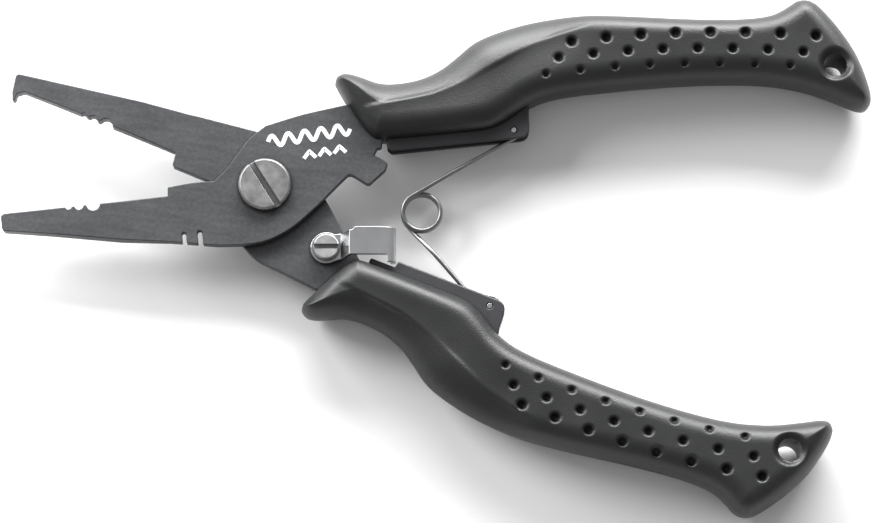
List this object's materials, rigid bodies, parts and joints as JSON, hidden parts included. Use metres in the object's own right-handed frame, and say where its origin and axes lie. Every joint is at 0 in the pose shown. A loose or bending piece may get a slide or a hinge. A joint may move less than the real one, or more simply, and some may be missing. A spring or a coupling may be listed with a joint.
{
  "type": "fishing pliers",
  "caption": "Spring-opened fishing pliers with slim hooked jaws, a slotted pivot screw, soft dimpled grips and a swinging latch lever that locks the handles shut.",
  "frame": {"origin": "centre of the pivot nut's flat rear face, on the pivot axis", "axes": "+Z along the pivot axis towards the slotted screw head, +X from the pivot between the two handles, +Y towards the upper handle"},
  "size_m": [0.1634, 0.1016, 0.0124],
  "materials": {
    "coated_steel": "matt dark grey coating over steel",
    "screw_steel": "turned steel",
    "bare_steel": "polished sheet steel",
    "spring_steel": "drawn wire",
    "hard_plastic": "moulded",
    "soft_grip": "fine matt texture"
  },
  "bodies": {
    "front_half": {"front_plate": "coated_steel", "upper_handle_core": "hard_plastic", "upper_handle_grip": "soft_grip", "upper_spring_pin": "bare_steel", "pivot_screw": "screw_steel", "pivot_sleeve": "bare_steel", "pivot_washer": "bare_steel", "pivot_nut": "screw_steel"},
    "rear_half": {"rear_plate": "coated_steel", "lower_handle_core": "hard_plastic", "lower_handle_grip": "soft_grip", "lower_spring_pin": "bare_steel", "latch_screw": "screw_steel"},
    "spring_upper": {"spring_upper_half": "spring_steel"},
    "spring_lower": {"spring_lower_half": "spring_steel"},
    "latch": {"latch_lever": "bare_steel", "latch_washer": "screw_steel"}
  },
  "joints": [
    {"name": "pivot", "type": "hinge", "parent": "front_half", "child": "rear_half", "pos_m": [0, 0, 0.0044], "axis": [0, 0, 1], "range_deg": [0, 27.5], "stiffness_Nm_per_rad": 0.5, "springref_deg": -11.46},
    {"name": "spring_eye", "type": "hinge", "parent": "front_half", "child": "spring_upper", "pos_m": [0.04549, 0.01731, 0.0044], "axis": [0, 0, 1], "range_deg": [-17.6, 0]},
    {"name": "spring_coil", "type": "hinge", "parent": "spring_upper", "child": "spring_lower", "pos_m": [0.03015, -0.0004, 0.00278], "axis": [0, 0, 1], "range_deg": [0, 67.5]},
    {"name": "latch_swing", "type": "hinge", "parent": "rear_half", "child": "latch", "pos_m": [0.01326, -0.01027, 0.0054], "axis": [0, 0, 1], "range_deg": [0, 43]}
  ],
  "couplings": [
    {"joint": "spring_eye", "follows": "pivot", "ratio": -0.633},
    {"joint": "spring_coil", "follows": "pivot", "ratio": 2.431}
  ]
}
